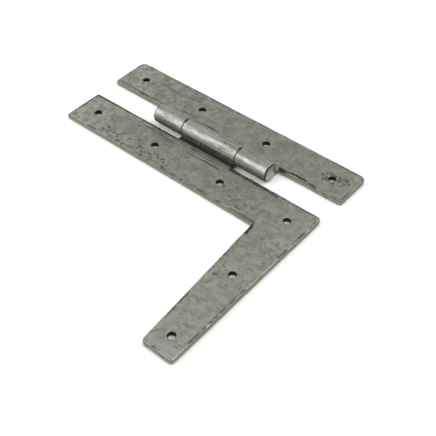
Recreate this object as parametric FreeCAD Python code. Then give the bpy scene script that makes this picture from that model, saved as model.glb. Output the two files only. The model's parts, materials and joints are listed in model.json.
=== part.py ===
import FreeCAD, Part
import math
import os

from FreeCAD import Vector

# H-L hinge: a straight strap and an L-shaped strap, both of bent plate, on one peened pin.
# Frame in millimetres: X along the pin, Y across the two straps, Z up from the screwing plane.
# The origin lies under the pin at the middle of the straps, on the screwing plane.

# Plate
plate_thickness = 3.0
front_edge_round = 0.7
back_edge_round = 0.4

# Straps, their nearer edges at one distance from the pin's axis
straight_strap_length = 178.0
straight_strap_width = 26.7
l_strap_length = 176.0
l_strap_width = 27.5
strap_offset = 8.5

# Leg of the L, measured from the strap's nearer edge
leg_reach = 124.6
leg_root_width = 27.7
leg_end_width = 20.4

# Corner radii in plan
straight_back_corner = 4.0
straight_front_corner = 1.8
l_far_corner = 1.2
l_outer_corner = 3.0
leg_end_inner_corner = 3.0
leg_end_outer_corner = 1.6
l_inside_corner = 0.8
tab_root_corner = 1.0

# Screw holes, the leg's measured from its end
hole_diameter = 4.5
hole_edge_break = 0.3
outer_hole_spacing = 148.0
inner_hole_spacing = 51.0
leg_end_hole = 11.9
leg_hole_spacing = 49.4

# Barrel, a little off the middle of the straps; each roll ends just above its own tab
pin_diameter = 5.9
pin_clearance = 0.05
barrel_length = 86.2
barrel_shift = 1.8
middle_knuckle_length = 41.3
knuckle_gap = 0.35
roll_end_gap = 0.3

# Peened heads of the pin
head_diameter = 10.4
head_seat_diameter = 9.4
head_rim_gap = 0.35
head_rim_thickness = 0.3
head_dome_rise = 0.7

# Worked out from the sizes above
pin_radius = pin_diameter / 2
bore_radius = pin_radius + pin_clearance
roll_radius = bore_radius + plate_thickness
pin_axis = Vector(barrel_shift, 0, roll_radius)
pin_direction = Vector(1, 0, 0)
half_straight_strap = straight_strap_length / 2
half_l_strap = l_strap_length / 2
half_barrel = barrel_length / 2
half_middle = middle_knuckle_length / 2
outer_knuckle_length = half_barrel - half_middle - knuckle_gap
outer_knuckle_middle = half_barrel - outer_knuckle_length / 2
tiny = 1e-6


def outline(corners):
    """A flat face from plan corners (x, y, radius), sharp where the radius is zero."""
    points = [Vector(x, y, 0) for x, y, radius in corners]
    bends = []
    for index, (x, y, radius) in enumerate(corners):
        here = points[index]
        back = (points[index - 1] - here).normalize()
        ahead = (points[(index + 1) % len(points)] - here).normalize()
        half_angle = back.getAngle(ahead) / 2
        setback = radius / math.tan(half_angle)
        crown = (back + ahead).normalize() * radius * (1 / math.sin(half_angle) - 1)
        bends.append((here + back * setback, here + crown, here + ahead * setback))
    edges = []
    for index, (start, crown, end) in enumerate(bends):
        if start.distanceToPoint(end) > tiny:
            edges.append(Part.Arc(start, crown, end).toShape())
        edges.append(Part.makeLine(end, bends[(index + 1) % len(bends)][0]))
    return Part.Face(Part.Wire(edges))


def eased_plate(corners):
    """The outline at plate thickness, its rims rounded except under the pin, where a roll begins."""
    plate = outline(corners).extrude(Vector(0, 0, plate_thickness))
    for height, radius in ((plate_thickness, front_edge_round), (0, back_edge_round)):
        rim = [
            edge
            for edge in plate.Edges
            if all(abs(vertex.Z - height) < tiny for vertex in edge.Vertexes)
            and not all(abs(vertex.Y) < tiny for vertex in edge.Vertexes)
        ]
        plate = plate.makeFillet(radius, rim)
    return plate


def tab_corners(middle, length, strap_edge):
    """Plan corners of a tab that runs from the strap's edge to the line under the pin."""
    left = middle - length / 2
    right = middle + length / 2
    return [
        (left, strap_edge, tab_root_corner),
        (left, 0, 0),
        (right, 0, 0),
        (right, strap_edge, tab_root_corner),
    ]


def rolled_knuckle(plate, middle, length, turn):
    """A tab rolled under, behind and over the pin, its end brought straight down to the tab."""
    start = next(
        face
        for face in plate.Faces
        if all(abs(vertex.Y) < tiny for vertex in face.Vertexes)
        and abs(face.CenterOfMass.x - middle) < length / 2
    )
    roll = start.revolve(pin_axis, turn, 270)
    drop = pin_axis.z - plate_thickness - roll_end_gap
    flank = start.rotated(pin_axis, turn, 270).extrude(Vector(0, 0, -drop))
    return roll.fuse(flank)


def screw_hole(x, y):
    """A through hole with its front edge broken."""
    radius = hole_diameter / 2
    drill = Part.makeCylinder(radius, plate_thickness, Vector(x, y, 0))
    break_start = Vector(x, y, plate_thickness - hole_edge_break)
    edge_break = Part.makeCone(radius, radius + hole_edge_break, hole_edge_break, break_start)
    return drill.fuse(edge_break)


def bent_leaf(corners, knuckles, holes, turn):
    """A plate with its tabs rolled into knuckles and its screw holes drilled."""
    plate = eased_plate(corners)
    leaf = plate.fuse([rolled_knuckle(plate, middle, length, turn) for middle, length in knuckles])
    leaf = leaf.cut([screw_hole(x, y) for x, y in holes])
    return leaf.removeSplitter().Solids[0]


def strap_holes(y):
    """The four screw holes along a strap's middle."""
    spacings = (-outer_hole_spacing, -inner_hole_spacing, inner_hole_spacing, outer_hole_spacing)
    return [(spacing / 2, y) for spacing in spacings]


def straight_leaf():
    near = strap_offset
    far = near + straight_strap_width
    knuckles = [
        (barrel_shift + end * outer_knuckle_middle, outer_knuckle_length) for end in (-1, 1)
    ]
    corners = [(-half_straight_strap, near, straight_front_corner)]
    for middle, length in knuckles:
        corners += tab_corners(middle, length, near)
    corners += [
        (half_straight_strap, near, straight_front_corner),
        (half_straight_strap, far, straight_back_corner),
        (-half_straight_strap, far, straight_back_corner),
    ]
    return bent_leaf(corners, knuckles, strap_holes((near + far) / 2), -pin_direction)


def leg_middle(reach):
    """The leg's middle in X at this reach from the strap's nearer edge, between its tapering edges."""
    share = (reach - l_strap_width) / (leg_reach - l_strap_width)
    width = leg_root_width + share * (leg_end_width - leg_root_width)
    return half_l_strap - width / 2


def l_leaf():
    near = -strap_offset
    far = near - l_strap_width
    end = near - leg_reach
    corners = [(-half_l_strap, near, l_far_corner)]
    corners += tab_corners(barrel_shift, middle_knuckle_length, near)
    corners += [
        (half_l_strap, near, l_outer_corner),
        (half_l_strap, end, leg_end_outer_corner),
        (half_l_strap - leg_end_width, end, leg_end_inner_corner),
        (half_l_strap - leg_root_width, far, l_inside_corner),
        (-half_l_strap, far, l_far_corner),
    ]
    holes = strap_holes((near + far) / 2)
    for from_end in (leg_end_hole, leg_end_hole + leg_hole_spacing):
        reach = leg_reach - from_end
        holes.append((leg_middle(reach), near - reach))
    return bent_leaf(corners, [(barrel_shift, middle_knuckle_length)], holes, pin_direction)


def hinge_pin():
    """A rod with a low domed head hammered over each end of the barrel."""
    seat = head_seat_diameter / 2
    rim = head_diameter / 2
    rim_back = half_barrel + head_rim_gap
    rim_front = rim_back + head_rim_thickness
    crest = rim_front + head_dome_rise
    dome_radius = (rim**2 + head_dome_rise**2) / (2 * head_dome_rise)
    half_rim = rim / 2
    dome_half = crest - dome_radius + math.sqrt(dome_radius**2 - half_rim**2)
    profile = [
        Part.makeLine(Vector(0, 0, 0), Vector(0, 0, pin_radius)),
        Part.makeLine(Vector(0, 0, pin_radius), Vector(half_barrel, 0, pin_radius)),
        Part.makeLine(Vector(half_barrel, 0, pin_radius), Vector(half_barrel, 0, seat)),
        Part.makeLine(Vector(half_barrel, 0, seat), Vector(rim_back, 0, rim)),
        Part.makeLine(Vector(rim_back, 0, rim), Vector(rim_front, 0, rim)),
        Part.Arc(
            Vector(rim_front, 0, rim), Vector(dome_half, 0, half_rim), Vector(crest, 0, 0)
        ).toShape(),
        Part.makeLine(Vector(crest, 0, 0), Vector(0, 0, 0)),
    ]
    half = Part.Face(Part.Wire(profile)).revolve(Vector(0, 0, 0), pin_direction, 360)
    pin = half.fuse(half.mirror(Vector(0, 0, 0), pin_direction)).removeSplitter().Solids[0]
    pin.translate(pin_axis)
    return pin


os.makedirs("parts", exist_ok=True)
for name, make in (("straight_leaf", straight_leaf), ("l_leaf", l_leaf), ("hinge_pin", hinge_pin)):
    make().exportStep(f"parts/{name}.step")
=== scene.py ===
# H-L hinge of burnished steel plate: worn leaves on a hammered pin, under soft studio light

import json
import math

import bmesh
import bpy
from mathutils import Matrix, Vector, kdtree, noise
from mathutils.bvhtree import BVHTree


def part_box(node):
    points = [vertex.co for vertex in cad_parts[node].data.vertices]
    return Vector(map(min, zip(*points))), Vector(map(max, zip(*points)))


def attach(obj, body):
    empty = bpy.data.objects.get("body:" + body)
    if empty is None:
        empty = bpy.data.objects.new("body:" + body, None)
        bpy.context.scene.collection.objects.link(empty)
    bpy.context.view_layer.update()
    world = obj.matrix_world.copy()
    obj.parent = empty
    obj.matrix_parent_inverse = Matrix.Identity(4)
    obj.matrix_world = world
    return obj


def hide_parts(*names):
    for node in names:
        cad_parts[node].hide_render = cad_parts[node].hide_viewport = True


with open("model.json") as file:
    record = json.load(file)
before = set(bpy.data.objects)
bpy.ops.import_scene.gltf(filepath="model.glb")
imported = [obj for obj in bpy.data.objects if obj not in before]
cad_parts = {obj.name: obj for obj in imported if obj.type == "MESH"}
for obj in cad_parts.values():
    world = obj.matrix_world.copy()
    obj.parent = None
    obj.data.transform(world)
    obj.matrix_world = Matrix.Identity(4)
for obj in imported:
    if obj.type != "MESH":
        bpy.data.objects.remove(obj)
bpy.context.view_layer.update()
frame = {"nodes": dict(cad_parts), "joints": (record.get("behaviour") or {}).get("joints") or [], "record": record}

# Sizes in metres, the barrel's taken from the hinge's axis and its knuckles
MM = 0.001
PLATE = 3.0 * MM
AXIS = Vector(frame["joints"][0]["pos_m"])
ROLL = AXIS.z
BORE = ROLL - PLATE
NEAR_BORE = BORE + 0.3 * MM
ON_ROLL = 1.02 * ROLL
BESIDE_ROLL = 1.05 * ROLL
CLEAR_OF_ROLL = 1.2 * ROLL

# Fine meshes, slopes given as a part of the normal
MESH_STEP = 0.8 * MM
WELD = 0.001 * MM
FLAT_ANGLE = math.radians(0.5)
SHARP_ANGLE = math.radians(38)
UPRIGHT_SLOPE = 0.99
WALL_SLOPE = 0.8
SIDE_SLOPE = 0.6
HOLE_REACH = 6.0 * MM
WALL_CLEARANCE = 0.1 * MM
FAR_FROM_RIM = 20.0

# Unevenness left by the hammer
WAVE_DEPTH = 0.07 * MM
WAVE_LENGTH = 16.0 * MM
DENT_DEPTH = 0.05 * MM
DENT_LENGTH = 4.0 * MM
RIM_WANDER = 0.16 * MM
RIM_WANDER_LENGTH = 7.0 * MM
RIM_DEPTH = 3.0 * MM

# Heads of the pin, with a dark ring round each
HEAD_START = 40.0 * MM
HEAD_STRUCK = 0.5 * MM
HEAD_DENT_DEPTH = 0.12 * MM
HEAD_DENT_LENGTH = 2.2 * MM
RING_START = 4.75 * MM
RING_END = 5.1 * MM

# Bands along the rims in millimetres from the edge: start, full, fading and end
WORN_BAND = (0.3, 0.6, 0.8, 1.2)
SOOT_BAND = (0.45, 0.8, 1.2, 2.2)
SIDE_FADE = (0.6, 0.2)

# Painted shade round the barrel, full at the first distance and gone at the second
SHADE_FULL = 30 * MM
SHADE_END = 110 * MM
SHADE_STRENGTH = 0.30

# Relief of the steel
BUMP_STRENGTH = 0.6
LEAF_RELIEF = 0.06 * MM
PIN_RELIEF = 0.05 * MM

# Table and surrounding light, in metres and strength
TABLE_HALF = 8.0
TABLE_DROP = 0.05 * MM
SURROUND = 0.61

# Camera
CAMERA_PLACE = Vector((256.41, -299.78, 344.56)) * MM
CAMERA_TARGET = Vector((43.34, -45.112, 3.0)) * MM
CAMERA_LENS = 70.864
SENSOR_WIDTH = 36.0


def knuckle_span(node):
    """Lowest and highest X of the rolled part of a leaf."""
    reach = [vert.co.x for vert in frame["nodes"][node].data.vertices if vert.co.z > 2 * PLATE]
    return min(reach), max(reach)


SEAMS = knuckle_span("l_leaf")
BARREL_ENDS = knuckle_span("straight_leaf")


# Working the leaves and the pin

def cut_at_steps(bm, faces, direction, low, high):
    """Cuts the faces by evenly spaced planes, so that the plate can be worked."""
    edges = {edge for face in faces for edge in face.edges}
    verts = {vert for face in faces for vert in face.verts}
    geometry = list(verts) + list(edges) + list(faces)
    for index in range(1, int((high - low) / MESH_STEP)):
        place = direction * (low + index * MESH_STEP)
        cut = bmesh.ops.bisect_plane(
            bm, geom=geometry, dist=WELD, plane_co=place, plane_no=direction)
        geometry = cut["geom"]


def fine_copy(node):
    """A merged copy of a leaf's solid, cut finely on its flats, its flanks and along its rolls."""
    bm = bmesh.new()
    bm.from_mesh(frame["nodes"][node].data)
    bmesh.ops.remove_doubles(bm, verts=bm.verts, dist=WELD)
    bmesh.ops.dissolve_limit(bm, angle_limit=FLAT_ANGLE, verts=bm.verts, edges=bm.edges)
    low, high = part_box(node)
    cut_at_steps(bm, list(bm.faces), Vector((1, 0, 0)), low.x, high.x)
    flats = [face for face in bm.faces if abs(face.calc_center_median().y) > BESIDE_ROLL]
    cut_at_steps(bm, flats, Vector((0, 1, 0)), low.y, high.y)
    bm.normal_update()
    upright = [face for face in bm.faces if abs(face.normal.y) > UPRIGHT_SLOPE]
    flanks = [face for face in upright if abs(face.calc_center_median().y) < BESIDE_ROLL]
    cut_at_steps(bm, flanks, Vector((0, 0, 1)), low.z, high.z)
    bmesh.ops.remove_doubles(bm, verts=bm.verts, dist=WELD)
    bm.normal_update()
    return bm


def from_axis(place):
    """Distance of a point from the pin's axis."""
    return math.hypot(place.y - AXIS.y, place.z - AXIS.z)


def cut_sides(bm):
    """Points on the plate's outer sides, and points on the walls of its screw holes.

    A hole's wall faces another wall close by, an outer side faces nothing.
    """
    tree = BVHTree.FromBMesh(bm)
    sides, walls = [], []
    for vert in bm.verts:
        if abs(vert.normal.z) < WALL_SLOPE and from_axis(vert.co) > CLEAR_OF_ROLL:
            level = Vector((vert.normal.x, vert.normal.y, 0)).normalized()
            middle = Vector((vert.co.x, vert.co.y, PLATE / 2))
            faced = tree.ray_cast(middle + level * WALL_CLEARANCE, level, HOLE_REACH)[0]
            if faced:
                walls.append(vert)
            elif abs(vert.normal.z) < SIDE_SLOPE:
                sides.append(vert)
    return sides, walls


def lookup(verts):
    """A tree that finds the nearest of these points."""
    tree = kdtree.KDTree(len(verts))
    for index, vert in enumerate(verts):
        tree.insert(vert.co, index)
    tree.balance()
    return tree


def work_with_hammer(bm, rims, low, high, seed):
    """Shallow waves and dents on every face, and rims that wander a little inside the solid's box."""
    drift = Vector((seed, 0, 0))
    for vert in bm.verts:
        place = vert.co.copy()
        if from_axis(place) < NEAR_BORE:
            continue
        wave = noise.noise(place / WAVE_LENGTH + drift) * WAVE_DEPTH
        dent = noise.noise(place / DENT_LENGTH + drift) * DENT_DEPTH
        worked = place + vert.normal * (wave + dent)
        distance = rims.find(place)[2]
        hold = max(0.0, 1 - distance / RIM_DEPTH)
        wander = noise.noise_vector(place / RIM_WANDER_LENGTH + drift) * RIM_WANDER * hold
        worked += Vector((wander.x, wander.y, 0))
        vert.co = [min(max(worked[axis], low[axis]), high[axis]) for axis in range(3)]


# Strokes in millimetres: start, end, half width and strength
TOP = PLATE / MM
LEFT_SEAM, RIGHT_SEAM = (seam / MM for seam in SEAMS)
LEFT_END, RIGHT_END = (end / MM for end in BARREL_ENDS)

# Soot and scale left in the corners and seams, and painted shade under the rolls and in the screw holes
DEEP_BLACK = 1.6
SEAM_SOOT = [((seam, 1.5, 12), (seam, -1.5, 11.8), 0.7, 0.9) for seam in (LEFT_SEAM, RIGHT_SEAM)]
SOOT_AND_SHADE = {
    "straight_leaf": [
        ((-88, 10.3, TOP), (-44, 10.3, TOP), 0.5, 0.8),
        ((45, 9.3, TOP), (49, 9.3, TOP), 0.8, 1.0),
        ((49, 9.6, TOP), (56, 10.7, TOP), 0.5, 1.0),
        ((56, 10.7, TOP), (63, 10.2, TOP), 0.6, 1.0),
        ((63, 10.2, TOP), (71, 9.2, TOP), 0.5, 0.9),
        # Low fronts of the outer rolls: painted shade for the dark they reflect
        ((LEFT_END, -5.4, 3.6), (LEFT_SEAM, -5.4, 3.6), 1.8, 0.75),
        ((RIGHT_SEAM, -5.4, 3.6), (RIGHT_END, -5.4, 3.6), 1.8, 0.75),
        *SEAM_SOOT,
    ],
    "l_leaf": [
        ((-86, -9.5, TOP), (-20, -9.5, TOP), 0.7, 0.8),
        ((24, -9.6, TOP), (44, -9.8, TOP), 1.1, 1.0),
        ((44, -9.8, TOP), (58, -10.4, TOP), 0.8, 0.9),
        ((50, -9.4, TOP), (86, -9.4, TOP), 0.6, 0.75),
        # Crease under the middle roll's edge: patina, with painted shade under the edge
        ((LEFT_SEAM, -7.3, TOP), (RIGHT_SEAM, -7.0, TOP), 0.75, DEEP_BLACK),
        # Front flank of the middle roll: painted shade
        ((LEFT_SEAM, -6.0, 4.9), (RIGHT_SEAM, -6.0, 4.9), 1.5, 0.72),
        *SEAM_SOOT,
        ((57, -37.2, TOP), (60.6, -37.2, TOP), 0.7, 0.9),
        ((61.4, -38, TOP), (62.2, -44, TOP), 0.8, 0.95),
    ],
}

# Places scored along the barrel by the rolling tool
SCORED = {
    "straight_leaf": [
        ((-30, 12, TOP), (-8, 12, TOP), 3.0, 0.9),
        ((-60, 24, TOP), (-40, 30, TOP), 6.0, 0.4),
    ],
    "l_leaf": [
        ((-38, -12, TOP), (-22, -12, TOP), 2.6, 1.0),
        ((-4, -12, TOP), (16, -12, TOP), 2.4, 1.0),
    ],
}

# Ends brightened as a painted sheen of reflected light
ENDS_SHEEN = {
    "straight_leaf": [((86, 12, TOP), (86, 32, TOP), 2.0, 0.4)],
    "l_leaf": [
        ((70, -130.5, TOP), (86, -130.5, TOP), 3.0, 1.3),
        ((-84, -12, TOP), (-84, -34, TOP), 8.0, 0.35),
    ],
}

# Places blotched by old rust
BLOTCHED = {
    "straight_leaf": [
        ((70, 22, TOP), (80, 23, TOP), 3.0, 1.5),
        ((-84, 28, TOP), (-70, 30, TOP), 4.0, 0.5),
    ],
    "l_leaf": [
        ((-70, -30, TOP), (-10, -32, TOP), 3.0, 0.8),
        ((-50, -14, TOP), (-30, -30, TOP), 5.0, 0.45),
        ((30, -20, TOP), (50, -31, TOP), 4.0, 0.5),
        ((64, -60, TOP), (66, -75, TOP), 3.0, 0.5),
    ],
}

# Values kept at every point of a leaf for its material
STROKES = {"rubbed_and_sheen": ENDS_SHEEN, "soot_and_shade": SOOT_AND_SHADE, "scored": SCORED, "blotched": BLOTCHED}
MARKS = ("rim_distance", *STROKES)


def stroke_strength(place, strokes):
    """The strongest stroke at a place: full on its line, nothing at twice its half width."""
    strongest = 0.0
    for start, end, half_width, strength in strokes:
        foot = Vector(start) * MM
        run = Vector(end) * MM - foot
        share = max(0.0, min(1.0, (place - foot).dot(run) / run.length_squared))
        distance = (place - foot - run * share).length
        strongest = max(strongest, strength * max(0.0, min(1.0, 2 - distance / (half_width * MM))))
    return strongest


def leaf_piece(node, seed):
    """A worn leaf in place of the plain solid, with its rims and marked places kept on the mesh."""
    bm = fine_copy(node)
    layers = {name: bm.verts.layers.float.new(name) for name in MARKS}
    sides, walls = cut_sides(bm)
    rims = lookup(sides)
    for vert in bm.verts:
        vert[layers["rim_distance"]] = min(rims.find(vert.co)[2] / MM, FAR_FROM_RIM)
        for name, strokes in STROKES.items():
            vert[layers[name]] = stroke_strength(vert.co, strokes[node])
        # The rolls rubbed brighter by handling
        if from_axis(vert.co) < ON_ROLL:
            vert[layers["rubbed_and_sheen"]] = 1.0
    # Walls of the screw holes blackened: painted shade in the holes
    for vert in walls:
        vert[layers["soot_and_shade"]] = DEEP_BLACK
    low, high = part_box(node)
    work_with_hammer(bm, rims, low, high, seed)
    return finished_piece(bm, node + "_worn", node)


def finished_piece(bm, name, node):
    """Turns the bmesh into an object that stands for the solid and moves with its body."""
    mesh = bpy.data.meshes.new(name)
    bm.to_mesh(mesh)
    bm.free()
    mesh.shade_smooth()
    mesh.set_sharp_from_angle(angle=SHARP_ANGLE)
    piece = bpy.data.objects.new(name, mesh)
    bpy.context.scene.collection.objects.link(piece)
    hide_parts(node)
    bodies = frame["record"]["behaviour"]["bodies"]
    body = next(body for body, nodes in bodies.items() if node in nodes)
    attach(piece, body)
    return piece


def pin_piece():
    """The pin, its heads left uneven by the hammer."""
    bm = bmesh.new()
    bm.from_mesh(frame["nodes"]["hinge_pin"].data)
    bmesh.ops.remove_doubles(bm, verts=bm.verts, dist=WELD)
    heads = [
        edge for edge in bm.edges
        if all(abs(vert.co.x - AXIS.x) > HEAD_START for vert in edge.verts)
    ]
    bmesh.ops.subdivide_edges(bm, edges=heads, cuts=2, use_grid_fill=True)
    bm.normal_update()
    for vert in bm.verts:
        outside = max(vert.co.x - BARREL_ENDS[1], BARREL_ENDS[0] - vert.co.x)
        if outside > HEAD_STRUCK:
            vert.co += vert.normal * noise.noise(vert.co / HEAD_DENT_LENGTH) * HEAD_DENT_DEPTH
    return finished_piece(bm, "hinge_pin_hammered", "hinge_pin")


# Material nodes

def add(tree, kind, inputs=None, **settings):
    """A node with its settings, its inputs given as values or as other nodes' sockets."""
    made = tree.nodes.new(kind)
    for name, value in settings.items():
        setattr(made, name, value)
    for name, value in (inputs or {}).items():
        if isinstance(value, bpy.types.NodeSocket):
            tree.links.new(value, made.inputs[name])
        else:
            made.inputs[name].default_value = value
    return made


def math_node(tree, operation, first, second=0.0):
    return add(tree, "ShaderNodeMath", {0: first, 1: second}, operation=operation).outputs[0]


def times(tree, first, second):
    return math_node(tree, "MULTIPLY", first, second)


def vector_node(tree, operation, inputs):
    return add(tree, "ShaderNodeVectorMath", inputs, operation=operation).outputs[0]


def length_of(tree, vector):
    return add(tree, "ShaderNodeVectorMath", {0: vector}, operation="LENGTH").outputs["Value"]


def noise_at(tree, place, scale, detail, roughness=0.5, distortion=0.0):
    inputs = {
        "Vector": place, "Scale": scale, "Detail": detail, "Roughness": roughness,
        "Distortion": distortion}
    return add(tree, "ShaderNodeTexNoise", inputs).outputs["Fac"]


def ranged(tree, value, low, high, to_low=0.0, to_high=1.0):
    """The value moved smoothly from one range to another."""
    limits = {"Value": value, "From Min": low, "From Max": high, "To Min": to_low, "To Max": to_high}
    return add(tree, "ShaderNodeMapRange", limits, interpolation_type="SMOOTHSTEP").outputs["Result"]


def band(tree, value, start, full, fading, end):
    """One from full to fading, nothing before the start and after the end."""
    return times(tree, ranged(tree, value, start, full), ranged(tree, value, end, fading))


def mixed(tree, share, first, second):
    """A colour between two others."""
    inputs = {0: share, 6: first, 7: second}
    return add(tree, "ShaderNodeMix", inputs, data_type="RGBA").outputs[2]


def new_group(name, values, results):
    """An empty shader group that takes a place and some values, and its two ends."""
    tree = bpy.data.node_groups.new(name, "ShaderNodeTree")
    tree.interface.new_socket("Place", in_out="INPUT", socket_type="NodeSocketVector")
    for way, sockets in (("INPUT", values), ("OUTPUT", results)):
        for socket in sockets:
            tree.interface.new_socket(socket, in_out=way, socket_type="NodeSocketFloat")
    given = tree.nodes.new("NodeGroupInput").outputs
    return tree, given, tree.nodes.new("NodeGroupOutput").inputs


def steel_grain_group():
    """Cloudy tone, fine grain and scattered pits of worked steel."""
    tree, given, result = new_group(
        "Steel grain", ("Cloud Scale", "Grain Scale"), ("Tone", "Grain", "Pits"))
    place = given["Place"]
    cloud = noise_at(tree, place, given["Cloud Scale"], 5.0, roughness=0.65, distortion=0.5)
    grain = noise_at(tree, place, given["Grain Scale"], 3.0, roughness=0.7)
    pits = noise_at(tree, place, times(tree, given["Grain Scale"], 0.35), 2.0)
    tree.links.new(ranged(tree, cloud, 0.38, 0.62), result["Tone"])
    tree.links.new(ranged(tree, grain, 0.32, 0.68), result["Grain"])
    tree.links.new(ranged(tree, pits, 0.64, 0.72), result["Pits"])
    return tree


def brush_group():
    """Strokes of a wire brush, run along X or turned from it, straight or swaying."""
    tree, given, result = new_group(
        "Brush strokes", ("Stretch", "Turn", "Sway"), ("Strokes", "Scores"))
    drift = add(tree, "ShaderNodeTexNoise", {"Vector": given["Place"], "Scale": 45.0, "Detail": 1.0})
    sway = vector_node(tree, "SCALE", {0: drift.outputs["Color"], "Scale": given["Sway"]})
    swayed = vector_node(tree, "ADD", {0: given["Place"], 1: sway})
    turn = {"Vector": swayed, "Angle": given["Turn"]}
    turned = add(tree, "ShaderNodeVectorRotate", turn, rotation_type="Z_AXIS").outputs[0]
    squeeze = add(tree, "ShaderNodeCombineXYZ", {"X": given["Stretch"], "Y": 1.0, "Z": 1.0})
    along = vector_node(tree, "MULTIPLY", {0: turned, 1: squeeze.outputs[0]})
    fine = noise_at(tree, along, 900.0, 3.0)
    deep = noise_at(tree, along, 650.0, 2.0)
    tree.links.new(ranged(tree, fine, 0.35, 0.65), result["Strokes"])
    tree.links.new(ranged(tree, deep, 0.52, 0.60), result["Scores"])
    return tree


STEEL_GRAIN = steel_grain_group()
BRUSH = brush_group()


def new_material(name):
    material = bpy.data.materials.new(name)
    material.use_nodes = True
    tree = material.node_tree
    tree.nodes.clear()
    place = add(tree, "ShaderNodeTexCoord").outputs["Object"]
    return material, tree, place


def grouped(tree, group, inputs):
    return add(tree, "ShaderNodeGroup", inputs, node_tree=group).outputs


def output(tree, colour, roughness, metallic, height, bump_depth):
    """Principled steel with its relief, joined to the material's output."""
    bump = add(tree, "ShaderNodeBump", {
        "Height": height, "Strength": BUMP_STRENGTH, "Distance": bump_depth})
    steel = add(tree, "ShaderNodeBsdfPrincipled", {
        "Base Color": colour, "Roughness": roughness, "Metallic": metallic, "Normal": bump.outputs[0]})
    add(tree, "ShaderNodeOutputMaterial", {"Surface": steel.outputs[0]})


# Colours of the leaves
CLOUD_DARK = (0.142, 0.144, 0.114, 1)
CLOUD_LIGHT = (0.315, 0.318, 0.276, 1)
BRUSHED = (0.405, 0.405, 0.352, 1)
SCORE_DARK = (0.047, 0.047, 0.035, 1)
BARREL_SHADE_TONE = (0.135, 0.135, 0.105, 1)
BRIGHT_RUB_AND_SHEEN = (0.385, 0.39, 0.378, 1)
WORN_RIM = (0.44, 0.435, 0.385, 1)
BROWNED_SIDE = (0.26, 0.245, 0.20, 1)
BLACK_SOOT_AND_SHADE = (0.012, 0.011, 0.008, 1)

# Colours of the pin and the table
PIN_DARK = (0.285, 0.285, 0.26, 1)
PIN_LIGHT = (0.435, 0.435, 0.41, 1)
PIN_PITTED = (0.05, 0.05, 0.04, 1)
PIN_RING = (0.02, 0.02, 0.017, 1)
TABLE_DARK = (0.90, 0.895, 0.885, 1)
TABLE_LIGHT = (0.92, 0.915, 0.905, 1)


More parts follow.
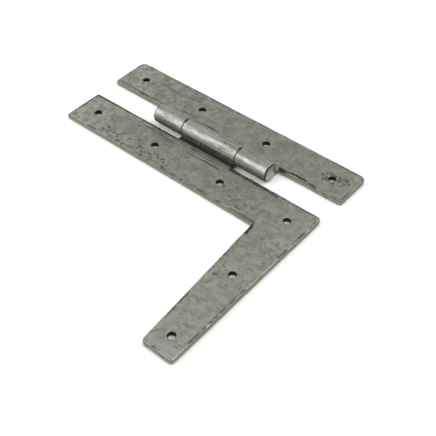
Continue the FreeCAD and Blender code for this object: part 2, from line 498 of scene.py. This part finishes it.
def leaf_steel():
    """Burnished plate: cloudy grey, worn rims, soot in the marked places and beside the rims, painted shade near
    the barrel, under the rolls and in the screw holes, and a painted sheen at the ends.
    """
    material, tree, place = new_material("leaf_steel")
    grain = grouped(tree, STEEL_GRAIN, {"Place": place, "Cloud Scale": 200.0, "Grain Scale": 1300.0})
    brush = grouped(tree, BRUSH, {"Place": place, "Stretch": 0.05, "Turn": 0.0, "Sway": 0.0})
    rubbed = grouped(tree, BRUSH, {"Place": place, "Stretch": 0.22, "Turn": 0.5, "Sway": 0.05})
    scuffed = grouped(tree, BRUSH, {"Place": place, "Stretch": 0.22, "Turn": -1.1, "Sway": 0.06})
    attributes = {
        name: add(tree, "ShaderNodeAttribute", attribute_name=name).outputs["Fac"]
        for name in MARKS
    }
    rim = attributes["rim_distance"]
    rubbed_and_sheen = attributes["rubbed_and_sheen"]

    # Mottled body, swept by strokes, with painted shade darker towards the barrel, the rolls rubbed brighter and a
    # painted sheen at the ends
    colour = mixed(tree, grain["Tone"], CLOUD_DARK, CLOUD_LIGHT)
    sweeps = ((grain["Grain"], 0.44), (rubbed["Strokes"], 0.26), (scuffed["Strokes"], 0.26))
    for strokes, share in sweeps:
        colour = mixed(tree, times(tree, strokes, share), colour, BRUSHED)
    for strokes in (rubbed["Scores"], scuffed["Scores"]):
        colour = mixed(tree, times(tree, strokes, 0.14), colour, SCORE_DARK)
    # Painted shade: the body darkened towards the barrel
    barrel_shade = ranged(tree, length_of(tree, place), SHADE_FULL, SHADE_END, SHADE_STRENGTH, 0.0)
    colour = mixed(tree, barrel_shade, colour, BARREL_SHADE_TONE)
    # Rolls rubbed brighter by handling, and a painted sheen at the ends
    brightened = times(tree, rubbed_and_sheen, ranged(tree, brush["Strokes"], 0.0, 1.0, 0.0, 0.75))
    colour = mixed(tree, brightened, colour, BRIGHT_RUB_AND_SHEEN)

    # Worn rims and brownish sides
    clots = noise_at(tree, place, 420.0, 3.0)
    worn = times(tree, band(tree, rim, *WORN_BAND), ranged(tree, clots, 0.35, 0.55, 0.0, 0.5))
    colour = mixed(tree, worn, colour, WORN_RIM)
    side = ranged(tree, rim, *SIDE_FADE)
    browned = times(tree, side, ranged(tree, clots, 0.3, 0.7, 0.95, 0.7))
    colour = mixed(tree, browned, colour, BROWNED_SIDE)

    # Soot, painted shade under the rolls and in the screw holes, scores and blotches
    stretches = noise_at(tree, place, 110.0, 3.0)
    dashes = times(tree, band(tree, rim, *SOOT_BAND), ranged(tree, stretches, 0.46, 0.56))
    dashes = times(tree, dashes, ranged(tree, clots, 0.35, 0.5, 0.35, 1.0))
    spread = times(tree, attributes["blotched"], 0.16)
    blots = ranged(tree, math_node(tree, "ADD", clots, spread), 0.68, 0.75)
    lines = times(tree, attributes["scored"], brush["Scores"])
    ragged = ranged(tree, brush["Strokes"], 0.0, 0.7, 0.7, 1.0)
    ragged = times(tree, attributes["soot_and_shade"], ragged)
    ragged = times(tree, ragged, ranged(tree, clots, 0.35, 0.55, 0.8, 1.0))
    soot_and_shade = ranged(tree, ragged, 0.25, 0.8)
    for mark, depth in ((dashes, 0.85), (blots, 0.75), (lines, 0.85), (grain["Pits"], 0.3)):
        soot_and_shade = math_node(tree, "MAXIMUM", soot_and_shade, times(tree, mark, depth))
    colour = mixed(tree, soot_and_shade, colour, BLACK_SOOT_AND_SHADE)

    # Dull where sooty, painted as shade or browned, with the grain and the strokes in relief
    dull = math_node(tree, "MAXIMUM", soot_and_shade, times(tree, browned, 0.3))
    roughness = ranged(tree, grain["Tone"], 0.0, 1.0, 0.52, 0.40)
    roughness = math_node(tree, "SUBTRACT", roughness, times(tree, rubbed_and_sheen, 0.02))
    roughness = math_node(tree, "ADD", roughness, times(tree, dull, 0.3))
    metallic = ranged(tree, dull, 0.0, 1.0, 1.0, 0.25)
    height = math_node(tree, "ADD", grain["Grain"], times(tree, brush["Strokes"], 0.6))
    height = math_node(tree, "ADD", height, times(tree, rubbed["Strokes"], 0.5))
    height = math_node(tree, "SUBTRACT", height, times(tree, soot_and_shade, 1.2))
    output(tree, colour, roughness, metallic, height, LEAF_RELIEF)
    return material


def pin_steel():
    """Hammered bright head, dark where the rim was never struck."""
    material, tree, place = new_material("pin_steel")
    grain = grouped(tree, STEEL_GRAIN, {"Place": place, "Cloud Scale": 420.0, "Grain Scale": 2200.0})
    parts = add(tree, "ShaderNodeSeparateXYZ", {0: place}).outputs
    lift = math_node(tree, "SUBTRACT", parts["Z"], AXIS.z)
    flat = add(tree, "ShaderNodeCombineXYZ", {"X": parts["Y"], "Y": lift}).outputs[0]
    radius = length_of(tree, flat)
    colour = mixed(tree, grain["Tone"], PIN_DARK, PIN_LIGHT)
    colour = mixed(tree, times(tree, grain["Pits"], 0.5), colour, PIN_PITTED)
    ring = ranged(tree, radius, RING_START, RING_END)
    colour = mixed(tree, ring, colour, PIN_RING)
    roughness = ranged(tree, grain["Tone"], 0.0, 1.0, 0.48, 0.38)
    metallic = ranged(tree, ring, 0.0, 1.0, 1.0, 0.3)
    output(tree, colour, roughness, metallic, grain["Grain"], PIN_RELIEF)
    return material


# Stage, light and camera

def floor():
    """A plain white table under the hinge."""
    bm = bmesh.new()
    bmesh.ops.create_grid(bm, x_segments=1, y_segments=1, size=TABLE_HALF)
    bmesh.ops.translate(bm, verts=bm.verts, vec=Vector((0, 0, -TABLE_DROP)))
    mesh = bpy.data.meshes.new("table")
    bm.to_mesh(mesh)
    bm.free()
    material, tree, place = new_material("table_white")
    speckle = noise_at(tree, place, 3.0, 2.0)
    colour = mixed(tree, speckle, TABLE_DARK, TABLE_LIGHT)
    paper = add(tree, "ShaderNodeBsdfPrincipled", {"Base Color": colour, "Roughness": 0.9})
    add(tree, "ShaderNodeOutputMaterial", {"Surface": paper.outputs[0]})
    mesh.materials.append(material)
    table = bpy.data.objects.new("table", mesh)
    bpy.context.scene.collection.objects.link(table)


def softbox(name, place, width, height, radiance):
    """A rectangular light turned to the hinge, of this brightness over its face."""
    light = bpy.data.lights.new(name, "AREA")
    light.shape = "RECTANGLE"
    light.size = width
    light.size_y = height
    light.energy = radiance * math.pi * width * height
    lamp = bpy.data.objects.new(name, light)
    lamp.location = place
    lamp.rotation_euler = (CAMERA_TARGET - Vector(place)).to_track_quat("-Z", "Y").to_euler()
    bpy.context.scene.collection.objects.link(lamp)


def studio():
    """Bright from the front left and the back right, dimmer from the back left."""
    world = bpy.data.worlds.new("studio")
    bpy.context.scene.world = world
    world.use_nodes = True
    surround = world.node_tree.nodes["Background"].inputs
    surround["Color"].default_value = (1.0, 1.0, 1.0, 1)
    surround["Strength"].default_value = SURROUND
    softbox("front_left_box", (-0.60, -0.75, 0.80), 1.5, 0.9, 2.6)
    softbox("back_left_box", (-0.85, 0.62, 0.75), 0.7, 0.5, 1.0)
    softbox("back_right_box", (0.65, 0.50, 1.15), 1.2, 1.0, 3.0)


def camera():
    lens = bpy.data.cameras.new("camera")
    lens.lens = CAMERA_LENS
    lens.sensor_width = SENSOR_WIDTH
    viewer = bpy.data.objects.new("camera", lens)
    viewer.location = CAMERA_PLACE
    viewer.rotation_euler = (CAMERA_TARGET - CAMERA_PLACE).to_track_quat("-Z", "Y").to_euler()
    bpy.context.scene.collection.objects.link(viewer)
    bpy.context.scene.camera = viewer
    bpy.context.scene.view_settings.view_transform = "Standard"


leaf_finish = leaf_steel()
pin_finish = pin_steel()
leaf_piece("straight_leaf", seed=3.7).data.materials.append(leaf_finish)
leaf_piece("l_leaf", seed=11.3).data.materials.append(leaf_finish)
pin_piece().data.materials.append(pin_finish)
floor()
studio()
camera()
